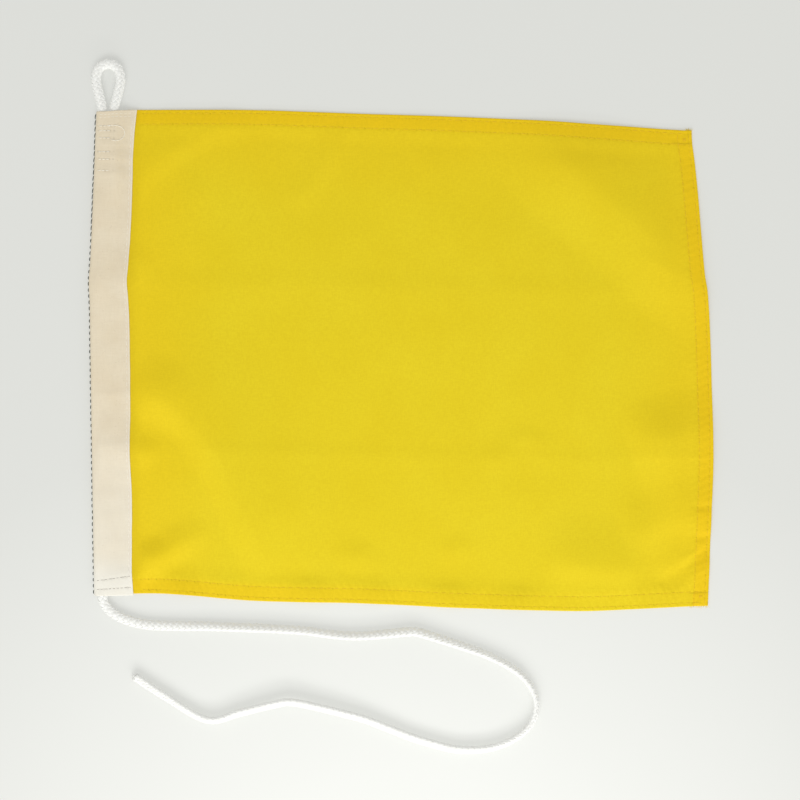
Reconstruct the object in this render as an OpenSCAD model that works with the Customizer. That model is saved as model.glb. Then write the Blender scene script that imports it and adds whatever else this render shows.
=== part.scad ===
// Plain signal flag with a roped heading, lying flat with its tail cord loose.
// +X runs from the heading to the fly, +Y runs up the hoist to the eye, +Z is up.

/* [Cloth] */
// Height of the flag along its heading
hoist = 300; // [240:10:360]
// Length of the cloth from the heading seam to the fly
fly = 360; // [280:10:440]
// Thickness of one layer of bunting
cloth_t = 0.3; // [0.2:0.05:0.4]
// Finished width of the turned hems
hem_w = 9.6; // [8:0.2:14]

/* [Heading] */
// Width of the folded canvas heading
heading_w = 24.2; // [24:0.2:30]
// Thickness of the heading canvas
canvas_t = 0.45; // [0.3:0.05:0.6]

/* [Rope] */
// Width of the slightly flattened rope
rope_w = 6.2; // [5.4:0.1:6.4]
// Thickness of the slightly flattened rope
rope_h = 4.4; // [3.6:0.1:4.6]
// How far the eye stands out of the heading
eye_len = 31; // [28:1:36]
// Length of the short leg of the rope, sewn beside the long one
short_leg_len = 42; // [32:1:60]

/* [Stitching] */
// Length of one hem stitch, hole to hole
stitch_pitch = 4.8; // [3:0.2:6]
// Thickness of the sewing thread
thread_t = 0.3; // [0.2:0.05:0.4]
// Distance of the outer stitch row from the cloth's edge
row_inset = 2.3; // [1.5:0.1:3]
// Distance between the two stitch rows of a hem
row_gap = 6.6; // [5:0.1:6.8]

/* [Hidden] */

clear = 0.05;            // gap that keeps touching pieces apart
hem_layers = 3;          // a hem is the cloth folded over twice
hem_t = hem_layers * cloth_t;
bottom_sag = 9.9;        // lowest point of the bottom edge below the heading's foot

// Corners of the layout; the origin is the middle of everything but the tail
x_left = -(heading_w + fly) / 2;
x_right = -x_left;
y_top = (hoist + eye_len + bottom_sag) / 2 - eye_len;
y_foot = y_top - hoist;

// How the laid cloth departs from a true rectangle: [fraction along the edge, offset].
// The steps near 0.28 and 0.65 of the hoist are the creases of a flag stored folded in three.
heading_bow = [[0, 2.5], [0.28, 1.2], [0.5, 0.2], [0.6, -0.2], [0.645, -0.8], [0.7, 0.3],
    [0.85, 2.2], [1, 3.9]];
fly_bow = [[0, -2.6], [0.1, -1.4], [0.2, -0.4], [0.31, 0.6], [0.5, -0.4], [0.6, -1.6],
    [0.66, -3], [0.7, -4.8], [0.78, -6.8], [0.86, -8.6], [0.93, -10.6], [0.97, -12.2], [1, -12.6]];
top_drop = [[0, 0], [0.2, 0], [0.31, 1.2], [0.41, 2.5], [0.53, 3.8], [0.7, 6.4], [0.79, 8.7],
    [0.86, 10.4], [0.93, 12.2], [1, 12]];
bottom_drop = [[0, -1], [0.05, -1], [0.1, 0], [0.17, 2.4], [0.24, 3.9], [0.4, 5.1], [0.53, 7.3],
    [0.64, 8.8], [0.77, bottom_sag], [0.86, 8.8], [0.96, 7], [1, 6.5]];

// Heading section, measured from the left fold
sleeve_h = 2 * canvas_t + rope_h + 2 * clear;
fold_r = sleeve_h / 2;
seam_z = 2 * canvas_t + hem_t + 2 * clear;
leg_x = canvas_t + clear + rope_w / 2;
leg_gap = 7.6;
slope_w = 6;
one_leg_top = leg_x + 1;
two_leg_top = one_leg_top + leg_gap;
short_leg_foot = y_top - short_leg_len;
rope_z = sleeve_h / 2;
foot_shift = 1.8;        // how far the rope leans off the fold where it leaves the foot

// The cloth turns about a line beside the heading; the eye starts clear of the heading's top
hinge_x = x_left + heading_w + 5;
hinge_gap = 0.4;
eye_start_y = y_top + 1.3;

strip_in = 7;            // cloth held between the two leaves of the heading
smooth = 6;              // pieces that each stretch of a smooth curve is cut into
rope_sides = 12;

// Route of the tail from the heading's foot to its bare end:
// [x, y, lift above lying flat, roll of the flattened section in degrees]
tail_route = [
    [-184.2, -160.8, 0.5, 0], [-184.1, -163.5, 0.3, 0], [-182, -167.5, 0.1, 0], [-178, -171.4, 0, 0],
    [-172, -174.6, 0, 0], [-164, -177.3, 0, 5], [-154, -178.9, 0, 10], [-138, -179.4, 0, 20],
    [-118, -179.6, 0, 35], [-99, -180.3, 0, 45], [-80, -181, 0, 50], [-60, -182.2, 0, 50],
    [-46, -184, 0.2, 50], [-32, -185.4, 0.5, 50], [-16, -184.8, 0.8, 45], [2, -183, 1, 40],
    [9, -182.8, 1, 40], [17, -185, 0.8, 45], [32, -189.8, 0.4, 50], [52, -196.8, 0, 60],
    [69, -205.6, 0, 70], [78.5, -214.5, 0, 80], [83.2, -225, 0, 85], [82, -235.5, 0, 85],
    [76.5, -243.8, 0, 80], [67, -250.4, 0, 70], [56, -254.4, 0, 60], [45, -255.8, 0, 50],
    [31, -255, 0, 45], [8, -248.6, 0, 45], [-7, -242.8, 0.3, 50], [-22, -237, 0.8, 50],
    [-38, -232.6, 1.4, 50], [-57, -228, 2, 50], [-69, -226, 2.2, 50], [-80, -227.8, 2, 50],
    [-99, -232.6, 1, 50], [-120, -237.2, 0, 60], [-147, -222, 0, 50], [-164, -211, 0, 40]];

// Eye: a teardrop from the long leg over the top to the short leg, [x from the middle, y from the top]
eye_shape = [[-4, eye_start_y - y_top - eye_len], [-4.4, -27], [-5.8, -21.5], [-7.2, -15.5],
    [-7.5, -11], [-6, -6.2], [-3, -3.7], [0, -rope_w / 2], [3, -3.7], [6, -6.2], [7.5, -11],
    [7.2, -15.5], [5.8, -21.5], [4.4, -27], [3.8, eye_start_y - y_top - eye_len]];

// ---------- curves ----------

// Smooth curve through points (Catmull-Rom), with the end points doubled
function blend4(a, b, c, d, t) =
    0.5 * (2 * b + (c - a) * t + (2 * a - 5 * b + 4 * c - d) * t * t
        + (3 * b - a - 3 * c + d) * t * t * t);
function curve(p, steps) = [
    for (i = [0 : len(p) - 2], k = [0 : steps - 1])
        blend4(p[max(i - 1, 0)], p[i], p[i + 1], p[min(i + 2, len(p) - 1)], k / steps),
    p[len(p) - 1]];

function left_x(y) = x_left + lookup((y - y_foot) / hoist, curve(heading_bow, smooth));
function seam_x(y) = left_x(y) + heading_w;
function top_y(x) = y_top - lookup((x - x_left - heading_w) / fly, curve(top_drop, smooth));
function bottom_y(x) = y_foot - lookup((x - x_left - heading_w) / fly, curve(bottom_drop, smooth));
function fly_x(y) = x_right + lookup((y - y_foot + 7.5) / (hoist - 4.5), curve(fly_bow, smooth));

// Height of the heading's upper face at distance u from its left fold, where the rope hump ends at top_u
function face_z(u, top_u) =
    u <= fold_r ? fold_r + sqrt(max(fold_r * fold_r - (fold_r - u) * (fold_r - u), 0))
    : u <= top_u ? sleeve_h
    : u < top_u + slope_w ? seam_z + (sleeve_h - seam_z) * (1 + cos(180 * (u - top_u) / slope_w)) / 2
    : seam_z;
function ease(t) = t <= 0 ? 0 : t >= 1 ? 1 : t * t * (3 - 2 * t);
// The long leg follows the left fold and leans off it over the last stretch above the foot
function leg_u(y) = leg_x + foot_shift * ease((y_foot + 26 - y) / 22);
// The hump narrows from two rope legs to one just below the short leg's end
function hump_end(y) = one_leg_top + leg_u(y) - leg_x
    + (two_leg_top - one_leg_top) * ease((y - short_leg_foot + 8) / 7);
// Heights at which the heading and the rope in it have their sections
heading_ys = concat(
    [for (k = [0 : 12]) y_foot + 2.5 * k],
    [for (k = [1 : 21]) y_foot + 30 + (short_leg_foot - 39 - y_foot) * k / 21],
    [for (k = [1 : 9]) short_leg_foot - 9 + k],
    [for (k = [1 : 5]) short_leg_foot + (y_top - short_leg_foot) * k / 5]);

// ---------- swept bodies ----------

function unit(v) = v / norm(v);
function tangent(p, i) = unit(p[min(i + 1, len(p) - 1)] - p[max(i - 1, 0)]);

// Half height of the rope section when it is rolled
function half_height(roll) = norm([rope_w / 2 * sin(roll), rope_h / 2 * cos(roll)]);

function rope_ring(centre, along, roll) =
    let (side = unit(cross(along, [0, 0, 1])), up = cross(side, along),
        wide = side * cos(roll) + up * sin(roll), thick = up * cos(roll) - side * sin(roll))
    [for (s = [0 : rope_sides - 1]) let (a = 360 * s / rope_sides)
        centre + wide * cos(a) * rope_w / 2 + thick * sin(a) * rope_h / 2];

// Rope swept along stations [x, y, z, roll]
module swept_rope(stations) {
    path = [for (s = stations) [s[0], s[1], s[2]]];
    rings = [for (i = [0 : len(path) - 1]) rope_ring(path[i], tangent(path, i), stations[i][3])];
    n = rope_sides;
    last = (len(rings) - 1) * n;
    sides = [for (i = [0 : len(rings) - 2], s = [0 : n - 1])
        let (a = i * n + s, b = i * n + (s + 1) % n) each [[a, a + n, b], [b, a + n, b + n]]];
    caps = [[for (s = [0 : n - 1]) s], [for (s = [n - 1 : -1 : 0]) last + s]];
    polyhedron([for (r = rings) each r], concat(sides, caps), convexity = 6);
}

// ---------- cloth ----------

module cloth_outline() {
    xs = [for (k = [0 : 72]) hinge_x + hinge_gap + (x_right - 12.6 - hinge_x - hinge_gap) * k / 72];
    y_hi = top_y(x_right - 12.6);
    y_lo = bottom_y(x_right - 2.6);
    ys = [for (k = [0 : 60]) y_hi + (y_lo - y_hi) * k / 60];
    polygon(concat(
        [for (x = xs) [x, top_y(x)]],
        [for (y = ys) [fly_x(y), y]],
        [for (k = [len(xs) - 1 : -1 : 0]) [xs[k], bottom_y(xs[k])]]));
}

// The single layer inside the three hems
module inside_hems() {
    intersection() {
        translate([-1, -hem_w]) cloth_outline();
        translate([-1, hem_w]) cloth_outline();
        translate([-hem_w, 0]) cloth_outline();
    }
}

module field_panel() color("gold") difference() {
    linear_extrude(hem_t) cloth_outline();
    translate([0, 0, cloth_t]) linear_extrude(hem_t) inside_hems();
}

// The cloth's hoist edge: held in the heading, and standing out of it as far as the hinge line
module field_hoist_strip() color("gold") {
    steps = 60;
    ys = [for (k = [0 : steps]) y_foot + 1 + (hoist - 2) * k / steps];
    held_z = canvas_t + clear;
    translate([0, 0, held_z]) linear_extrude(cloth_t) polygon(concat(
        [for (y = ys) [seam_x(y) - strip_in, y]],
        [for (k = [steps : -1 : 0]) [seam_x(ys[k]) + 0.4, ys[k]]]));
    linear_extrude(held_z + cloth_t) polygon(concat(
        [for (y = ys) [seam_x(y) + 0.2, y]],
        [[hinge_x - hinge_gap, y_foot + hoist - 1], [hinge_x - hinge_gap, y_foot + 1]]));
}

// ---------- heading ----------

// Section of the folded canvas at height y: outer face, then inner face, both from the back
// leaf's edge round the fold to the front leaf's edge, as [u, z]
function heading_face(y, inset, u_end) =
    let (r = fold_r - inset, top_u = hump_end(y), n = 8)
    concat(
        [[u_end, inset], [top_u, inset]],
        [for (k = [0 : n]) [fold_r - r * sin(180 * k / n), fold_r - r * cos(180 * k / n)]],
        [for (k = [0 : n]) let (u = top_u + slope_w * k / n) [u, face_z(u, top_u) - inset]],
        [[u_end, seam_z - inset]]);

module heading_tape() {
    function place(y, p) = [left_x(y) + p[0], y, p[1]];
    n = len(heading_face(0, 0, heading_w));
    rings = [for (y = heading_ys) concat(
        [for (p = heading_face(y, 0, heading_w)) place(y, p)],
        [for (p = heading_face(y, canvas_t, heading_w)) place(y, p)])];
    // Walls run along the outer face, along the inner face and across the two leaf edges
    function wall(i, a, b) = let (lo = i * 2 * n, hi = lo + 2 * n)
        [[lo + a, lo + b, hi + a], [lo + b, hi + b, hi + a]];
    sides = [for (i = [0 : len(heading_ys) - 2]) each concat(
        [for (k = [0 : n - 2]) each wall(i, k + 1, k)],
        [for (k = [0 : n - 2]) each wall(i, n + k, n + k + 1)],
        wall(i, 0, n), wall(i, 2 * n - 1, n - 1))];
    last = (len(heading_ys) - 1) * 2 * n;
    foot = [for (k = [0 : n - 2]) each [[k, k + 1, n + k], [k + 1, n + k + 1, n + k]]];
    head = [for (f = foot) [last + f[2], last + f[1], last + f[0]]];
    color("linen") polyhedron([for (r = rings) each r], concat(sides, foot, head), convexity = 6);
}

// ---------- rope ----------

module heading_rope() color("white")
    swept_rope([for (y = heading_ys) [left_x(y) + leg_u(y), y, rope_z, 0]]);

module short_rope_leg() color("white")
    swept_rope([for (y = heading_ys) if (y >= short_leg_foot) [left_x(y) + leg_x + leg_gap, y, rope_z, 0]]);

module eye_loop() color("white") {
    middle = left_x(y_top) + leg_x + leg_gap / 2;
    swept_rope([for (p = curve(eye_shape, 3)) [middle + p[0], y_top + eye_len + p[1], rope_z, 0]]);
}

module tail_cord() color("white")
    swept_rope([for (p = curve(tail_route, 2)) [p[0], p[1], half_height(p[3]) + p[2], p[3]]]);

// ---------- thread ----------

// One stitch lying along X on the face at z = 0
module stitch(length) translate([-length / 2, -thread_t / 2, 0]) cube([length, thread_t, thread_t]);

// Row of stitches beside the top or bottom edge; inset is positive towards the cloth
module hem_row_x(y_of, inset, colour) {
    first = hinge_x + 3;
    count = floor((x_right - 16 - first) / stitch_pitch);
    color(colour) for (k = [0 : count]) {
        x = first + k * stitch_pitch;
        y = y_of(x) + inset;
        slope = atan((y_of(x + 1) - y_of(x - 1)) / 2);
        translate([x, y, hem_t]) rotate(slope) stitch(stitch_pitch * 0.8);
    }
}

// Row of stitches beside the fly edge, riding over the top and bottom rows at its ends
module hem_row_y(inset) {
    first = bottom_y(x_right) + 4;
    last = top_y(x_right) - 4;
    crossing = row_inset + row_gap + 3;
    color("goldenrod") for (k = [0 : floor((last - first) / stitch_pitch)]) {
        y = first + k * stitch_pitch;
        slope = atan((fly_x(y + 1) - fly_x(y - 1)) / 2);
        over = min(y - first, last - y) < crossing ? thread_t : 0;
        translate([fly_x(y) - inset, y, hem_t + over]) rotate(90 - slope) stitch(stitch_pitch * 0.8);
    }
}

module top_hem_outer_thread() hem_row_x(function(x) top_y(x), -row_inset, "goldenrod");
module top_hem_inner_thread() hem_row_x(function(x) top_y(x), -row_inset - row_gap, "goldenrod");
module bottom_hem_outer_thread() hem_row_x(function(x) bottom_y(x), row_inset, "goldenrod");
module bottom_hem_inner_thread() hem_row_x(function(x) bottom_y(x), row_inset + row_gap, "goldenrod");
module fly_hem_outer_thread() hem_row_y(row_inset);
module fly_hem_inner_thread() hem_row_y(row_inset + row_gap);

// Short tacks that lock the rows' ends at the two fly corners
module backtack(y) color("goldenrod") for (k = [0 : 2])
    translate([fly_x(y) - 5.6 + k * 0.7, y, hem_t]) rotate(90) stitch(2.4);
module fly_top_backtack() backtack(top_y(x_right - 12.6) - 6);
module fly_bottom_backtack() backtack(bottom_y(x_right - 2.6) + 6);

// Dark tracer yarn in dashes down the heading's left fold
module tracer_thread() color("darkslategray") {
    pitch = 3.8;
    dash = 2.4;
    yarn_t = 0.4;
    for (k = [0 : floor((hoist - 4) / pitch)]) {
        y = y_foot + 2 + k * pitch;
        outer = min(left_x(y), left_x(y + dash)) - 3 * clear;
        translate([outer - yarn_t, y, fold_r - 0.5]) cube([yarn_t, dash, 1]);
    }
}

module heading_seam_thread() color("ivory") {
    pitch = 3.6;
    for (k = [0 : floor((hoist - 6) / pitch)]) {
        y = y_foot + 3 + k * pitch;
        translate([seam_x(y) - 2, y, seam_z]) rotate(90) stitch(pitch * 0.75);
    }
}

// Row of stitches across the heading at height y, from u0 to u1, following its upper face
module row_across(y, u0, u1, pitch, length, tilt) {
    for (k = [0 : floor((u1 - u0) / pitch)]) {
        u = u0 + k * pitch;
        row_y = y + tilt * (u - u0);
        top_u = hump_end(row_y);
        rise = atan(face_z(u + 0.5, top_u) - face_z(u - 0.5, top_u));
        translate([left_x(row_y) + u, row_y, face_z(u, top_u) + 4 * clear])
            rotate([0, -rise, 0]) stitch(length);
    }
}

// Lines of stitching that close the turned top end of the heading
module heading_top_thread() color("ivory") for (y = [y_top - 2, y_top - 4])
    row_across(y, 3.4, heading_w - 1.5, 2.4, 1.6, 0);

// Box of stitches that holds the two rope legs together under the eye
module eye_box_thread() color("ivory") {
    for (drop = [8.5, 13.5, 18, 27, 31, 38])
        row_across(y_top - drop, 3.6, two_leg_top - 0.6, 2.4, 1.7, 0);
    for (u = [3.6, two_leg_top - 0.8], k = [0 : 2]) {
        y = y_top - 10.5 - k * 2.4;
        translate([left_x(y) + u, y, sleeve_h + 2 * clear]) rotate(90) stitch(1.5);
    }
}

module foot_thread_upper() color("gray") row_across(y_foot + 10, 3, heading_w - 1, 2.2, 1.5, 0.08);
module foot_thread_lower() color("gray") row_across(y_foot + 4, 3, heading_w - 1, 2.2, 1.5, 0.05);

field_panel();
field_hoist_strip();
heading_tape();
tracer_thread();
heading_seam_thread();
heading_top_thread();
eye_box_thread();
foot_thread_upper();
foot_thread_lower();
top_hem_outer_thread();
top_hem_inner_thread();
bottom_hem_outer_thread();
bottom_hem_inner_thread();
fly_hem_outer_thread();
fly_hem_inner_thread();
fly_top_backtack();
fly_bottom_backtack();
heading_rope();
short_rope_leg();
eye_loop();
tail_cord();
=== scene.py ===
import math

import bmesh
import bpy
import numpy as np
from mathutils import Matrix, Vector, geometry, noise


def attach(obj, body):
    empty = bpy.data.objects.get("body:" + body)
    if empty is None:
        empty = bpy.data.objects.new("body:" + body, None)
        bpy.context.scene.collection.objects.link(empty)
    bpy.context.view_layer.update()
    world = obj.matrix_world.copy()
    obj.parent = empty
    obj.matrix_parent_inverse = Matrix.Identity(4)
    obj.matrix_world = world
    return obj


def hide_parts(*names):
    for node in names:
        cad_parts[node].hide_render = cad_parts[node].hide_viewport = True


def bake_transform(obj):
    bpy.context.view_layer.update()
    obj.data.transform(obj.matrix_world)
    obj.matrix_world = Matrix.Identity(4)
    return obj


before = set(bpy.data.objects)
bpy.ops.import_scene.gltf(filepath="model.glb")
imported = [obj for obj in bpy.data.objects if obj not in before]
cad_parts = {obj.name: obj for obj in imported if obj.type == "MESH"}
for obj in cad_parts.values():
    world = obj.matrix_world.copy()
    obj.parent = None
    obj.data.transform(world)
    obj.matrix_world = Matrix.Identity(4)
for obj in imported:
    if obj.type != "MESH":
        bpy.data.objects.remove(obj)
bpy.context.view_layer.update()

# Looks of a plain signal flag that lies flat: bunting cloth, canvas heading, braided rope and thread.
# Everything is in metres. Lists written in millimetres are scaled by MM where they are used.
MM = 0.001

# ---------- sizes shared with the part's source ----------

HOIST = 0.300  # height of the flag along its heading
FLY = 0.360  # length of the cloth from the heading seam to the fly
CLOTH_T = 0.0003  # one layer of bunting
HEM_W = 0.0096  # finished width of the turned hems
HEADING_W = 0.0242  # width of the folded canvas heading
CANVAS_T = 0.00045  # thickness of the heading canvas
ROPE_W = 0.0062  # width of the flattened rope
ROPE_H = 0.0044  # thickness of the flattened rope
EYE_LEN = 0.031  # how far the eye stands out of the heading
SHORT_LEG_LEN = 0.042  # short leg of the rope, sewn beside the long one
STITCH_PITCH = 0.0048  # one hem stitch, hole to hole
ROW_INSET = 0.0023  # outer stitch row from the cloth's edge
ROW_GAP = 0.0066  # between the two stitch rows of a hem
CLEAR = 0.00005  # gap that keeps touching pieces apart
BOTTOM_SAG = 0.0099  # lowest point of the bottom edge below the heading's foot
HEM_T = 3 * CLOTH_T  # a hem is the cloth folded over twice

X_LEFT = -(HEADING_W + FLY) / 2
X_RIGHT = -X_LEFT
Y_TOP = (HOIST + EYE_LEN + BOTTOM_SAG) / 2 - EYE_LEN
Y_FOOT = Y_TOP - HOIST

SLEEVE_H = 2 * CANVAS_T + ROPE_H + 2 * CLEAR  # height of the heading over the rope
FOLD_R = SLEEVE_H / 2
LEG_X = CANVAS_T + CLEAR + ROPE_W / 2  # middle of the long rope leg from the fold
LEG_GAP = 0.0076  # between the middles of the two legs
ONE_LEG_TOP = LEG_X + 0.001  # where the hump over one leg starts to fall
TWO_LEG_TOP = ONE_LEG_TOP + LEG_GAP
SHORT_LEG_FOOT = Y_TOP - SHORT_LEG_LEN
FOOT_SHIFT = 0.0018  # how far the rope leans off the fold at the foot

# Departures of the laid cloth from a rectangle: (fraction along the edge, offset in millimetres)
HEADING_BOW = [(0, 2.5), (0.28, 1.2), (0.5, 0.2), (0.6, -0.2), (0.645, -0.8), (0.7, 0.3),
               (0.85, 2.2), (1, 3.9)]
FLY_BOW = [(0, -2.6), (0.1, -1.4), (0.2, -0.4), (0.31, 0.6), (0.5, -0.4), (0.6, -1.6), (0.66, -3),
           (0.7, -4.8), (0.78, -6.8), (0.86, -8.6), (0.93, -10.6), (0.97, -12.2), (1, -12.6)]
TOP_DROP = [(0, 0), (0.2, 0), (0.31, 1.2), (0.41, 2.5), (0.53, 3.8), (0.7, 6.4), (0.79, 8.7),
            (0.86, 10.4), (0.93, 12.2), (0.965, 12.7), (0.985, 12.2), (1, 11.2)]
BOTTOM_DROP = [(0, -1), (0.05, -1), (0.1, 0), (0.17, 2.4), (0.24, 3.9), (0.4, 5.1), (0.53, 7.3),
               (0.64, 8.8), (0.77, 9.9), (0.86, 8.8), (0.96, 7), (1, 6.5)]

# The tail's route from the heading's foot to its bare end:
# (x, y, lift above lying flat) in metres, and the roll of its flattened section in degrees
TAIL_ROUTE = [
    (-0.1842, -0.1608, 0.0005, 0), (-0.1841, -0.1635, 0.0003, 0), (-0.182, -0.1675, 0.0001, 0),
    (-0.178, -0.1714, 0, 0), (-0.172, -0.1746, 0, 0), (-0.164, -0.1773, 0, 5),
    (-0.154, -0.1789, 0, 10), (-0.138, -0.1794, 0, 20), (-0.118, -0.1796, 0, 35),
    (-0.099, -0.1803, 0, 45), (-0.08, -0.181, 0, 50), (-0.06, -0.1822, 0, 50),
    (-0.046, -0.184, 0.0002, 50), (-0.032, -0.1854, 0.0005, 50), (-0.016, -0.1848, 0.0008, 45),
    (0.002, -0.183, 0.001, 40), (0.009, -0.1828, 0.001, 40), (0.017, -0.185, 0.0008, 45),
    (0.032, -0.1898, 0.0004, 50), (0.052, -0.1968, 0, 60), (0.069, -0.2056, 0, 70),
    (0.0785, -0.2145, 0, 80), (0.0832, -0.225, 0, 85), (0.082, -0.2355, 0, 85),
    (0.0765, -0.2438, 0, 80), (0.067, -0.2504, 0, 70), (0.056, -0.2544, 0, 60),
    (0.045, -0.2558, 0, 50), (0.031, -0.255, 0, 45), (0.008, -0.2486, 0, 45),
    (-0.007, -0.2428, 0.0003, 50), (-0.022, -0.237, 0.0008, 50), (-0.038, -0.2326, 0.0014, 50),
    (-0.057, -0.228, 0.002, 50), (-0.069, -0.226, 0.0022, 50), (-0.08, -0.2278, 0.002, 50),
    (-0.099, -0.2326, 0.001, 50), (-0.12, -0.2372, 0, 60), (-0.147, -0.222, 0, 50),
    (-0.164, -0.211, 0, 40)]

# The eye from the long leg over the top to the short leg: (x from its middle, y from its top), millimetres
EYE_SHAPE = [(-4, -29.7), (-4.4, -27), (-5.8, -21.5), (-7.2, -15.5), (-7.5, -11), (-6, -6.2),
             (-3, -3.7), (0, -3.1), (3, -3.7), (6, -6.2), (7.5, -11), (7.2, -15.5), (5.8, -21.5),
             (4.4, -27), (3.8, -29.7)]

# ---------- soft shapes of the laid cloth, in millimetres ----------

# Ridges: (crest points, height, width to the left of the crest line, width to its right), then how
# straight the sides are and whether the ends fade out, where these aren't the usual ones
RIDGES = [
    ([(-210, 34), (-60, 31), (60, 28), (210, 26)], 0.3, 10, 16, 1, False),
    ([(-210, -68), (-100, -71), (0, -74), (210, -77)], 0.24, 6, 12, 1, False),
    ([(72, 142), (102, 106), (142, 72), (172, 44), (240, -4)], 5.2, 54, 38, 0.6),
    ([(140, 54), (172, 36), (230, 12)], 0.6, 8, 24, 0.5),
    ([(-170, 78), (-150, 108), (-118, 126), (-88, 132)], 1.5, 30, 12, 0.5),
    ([(-172, -30), (-143, -42), (-119, -66), (-102, -97), (-88, -130), (-68, -166)], 3.4, 64, 18, 0.5),
    ([(-190, -168), (-156, -142), (-118, -117)], 2.1, 15, 12),
    ([(140, -72), (168, -64), (192, -60), (270, -56)], 4.3, 30, 76, 0.5),
    ([(140, -76), (168, -75.5), (230, -75)], 0.3, 24, 3, 0.5),
    ([(134, -124), (165, -115), (200, -109)], 1.9, 26, 20),
    ([(84, -138), (125, -144), (152, -150)], 2.5, 34, 22),
    ([(160, -155), (177, -142), (212, -114)], -2.0, 4.5, 9),
    ([(-69, 76), (-51, 100), (-34, 130)], 0.8, 14, 11),
    ([(12, 124), (22, 90), (28, 46)], 0.5, 14, 13),
    ([(-126, 104), (-130, 70), (-127, 40)], 0.6, 12, 12),
    ([(52, -84), (72, -64), (96, -70)], 0.5, 9, 14),
]
# Low swellings: (x, y, half width, half height, rise)
SWELLINGS = [
    (-151, -35, 27, 25, 2.0), (-164, -72, 17, 14, 1.9), (-157, -138, 19, 16, 1.6),
    (-166, 44, 16, 18, 1.4), (-134, -164, 17, 17, 2.2), (-57, -163, 20, 17, 1.8),
    (-16, -165, 16, 16, 1.5), (30, -167, 20, 17, 1.8), (69, -169, 22, 17, 1.8),
    (-28, -137, 18, 13, 0.7), (34, -133, 18, 12, 0.6), (188, -106, 12, 4.5, -0.8),
    (188, -125, 12, 5, -0.9), (184, -112, 22, 30, 1.0), (178, -140, 28, 20, 1.9),
]
# Folds that storage and stitching have left across the heading: (y, rise, width above, width below)
HEADING_FOLDS = [(34, 1.3, 24, 28), (-68, 1.5, 22, 25), (-36, 0.3, 8, 6), (118, 0.26, 9, 3),
                 (109, 0.3, 9, 3), (99, 0.2, 7, 3)]
FOLDS_RELIEF = 0.28  # share of the cloth's relief that the heading's front leaf follows
# How far the front leaf's edge strays from a constant width: (fraction up the heading, offset)
SEAM_BOW = [(0, 0), (0.05, -0.8), (0.12, -0.6), (0.2, -0.2), (0.3, -0.9), (0.4, -0.2), (0.54, -0.1),
            (0.62, -0.6), (0.67, -0.8), (0.77, -0.3), (0.84, -0.4), (0.9, -0.7), (0.95, -0.3), (1, 0.8)]

# Rounded end of the thread that boxes in the rope: (distance from the fold, depth below the top)
BOX_TURN = [(7.7, 10.3), (11, 10.1), (14, 10.2), (16.4, 11.2), (18, 13), (18.4, 15.2), (17.8, 17.2),
            (16, 18.9), (13.5, 19.7), (10.5, 19.2)]

# ---------- curves and edges ----------


def smooth_curve(points, steps):
    """Catmull-Rom curve through points, with the end points doubled."""
    p = np.array(points, float)
    p = np.vstack([p[:1], p, p[-1:]])
    t = (np.arange(steps) / steps)[:, None]
    spans = [0.5 * (2 * b + (c - a) * t + (2 * a - 5 * b + 4 * c - d) * t ** 2
                    + (3 * b - a - 3 * c + d) * t ** 3)
             for a, b, c, d in zip(p, p[1:], p[2:], p[3:])]
    return np.vstack(spans + [p[-1:]])


def edge_offset(points):
    """Function that gives an edge's offset in metres at a fraction along it."""
    line = smooth_curve(points, 6)
    return lambda fraction: np.interp(fraction, line[:, 0], line[:, 1]) * MM


heading_bow = edge_offset(HEADING_BOW)
fly_bow = edge_offset(FLY_BOW)
top_drop = edge_offset(TOP_DROP)
bottom_drop = edge_offset(BOTTOM_DROP)
seam_bow = edge_offset(SEAM_BOW)


def ease(t):
    """Smooth step from 0 to 1."""
    t = np.clip(t, 0, 1)
    return t * t * (3 - 2 * t)


def bell(t):
    return np.exp(-t ** 2)


def quarter(t):
    """Quarter of a circle: rises from 0 at t = 0 to 1 at t = 1."""
    return np.sqrt(1 - (1 - np.clip(t, 0, 1)) ** 2)


def left_x(y):
    return X_LEFT + heading_bow((y - Y_FOOT) / HOIST)


def seam_x(y):
    return left_x(y) + HEADING_W


def top_y(x):
    return Y_TOP - top_drop((x - X_LEFT - HEADING_W) / FLY)


def bottom_y(x):
    return Y_FOOT - bottom_drop((x - X_LEFT - HEADING_W) / FLY)


def fly_x(y):
    return X_RIGHT + fly_bow((y - Y_FOOT + 0.0075) / (HOIST - 0.0045))


def leg_u(y):
    """Distance of the long rope leg from the heading's left fold."""
    return LEG_X + FOOT_SHIFT * ease((Y_FOOT + 0.026 - y) / 0.022)


def soft_noise(x, y, scale, seed):
    """Smooth noise of about -1 to 1 over places x and y, with bumps about scale wide."""
    x, y = np.broadcast_arrays(x, y)
    flat = [noise.noise((a, b, seed)) for a, b in zip(x.ravel() / scale, y.ravel() / scale)]
    return np.reshape(flat, x.shape)


def ridge(x, y, crest, height, left, right, straight=0.4, fades=True):
    """Height of a soft ridge along a crest line, all in millimetres."""
    line = smooth_curve(crest, 8)
    best = np.full(x.shape, np.inf)
    side = np.zeros_like(x)
    along = np.zeros_like(x)
    for i, (p, q) in enumerate(zip(line, line[1:])):
        step = q - p
        t = np.clip(((x - p[0]) * step[0] + (y - p[1]) * step[1]) / (step @ step), 0, 1)
        off_x, off_y = x - p[0] - t * step[0], y - p[1] - t * step[1]
        gap = np.hypot(off_x, off_y)
        nearer = gap < best
        best = np.where(nearer, gap, best)
        side = np.where(nearer, step[0] * off_y - step[1] * off_x, side)
        along = np.where(nearer, (i + t) / (len(line) - 1), along)
    t = np.clip(best / np.where(side > 0, left, right), 0, 1)
    crested = (1 - np.sqrt((t * t + 0.012) / 1.012)) ** 1.15
    profile = straight * crested + (1 - straight) * (1 - ease(t))
    taper = ease(np.minimum(along, 1 - along) / 0.3) if fades else 1
    return height * profile * taper


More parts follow.
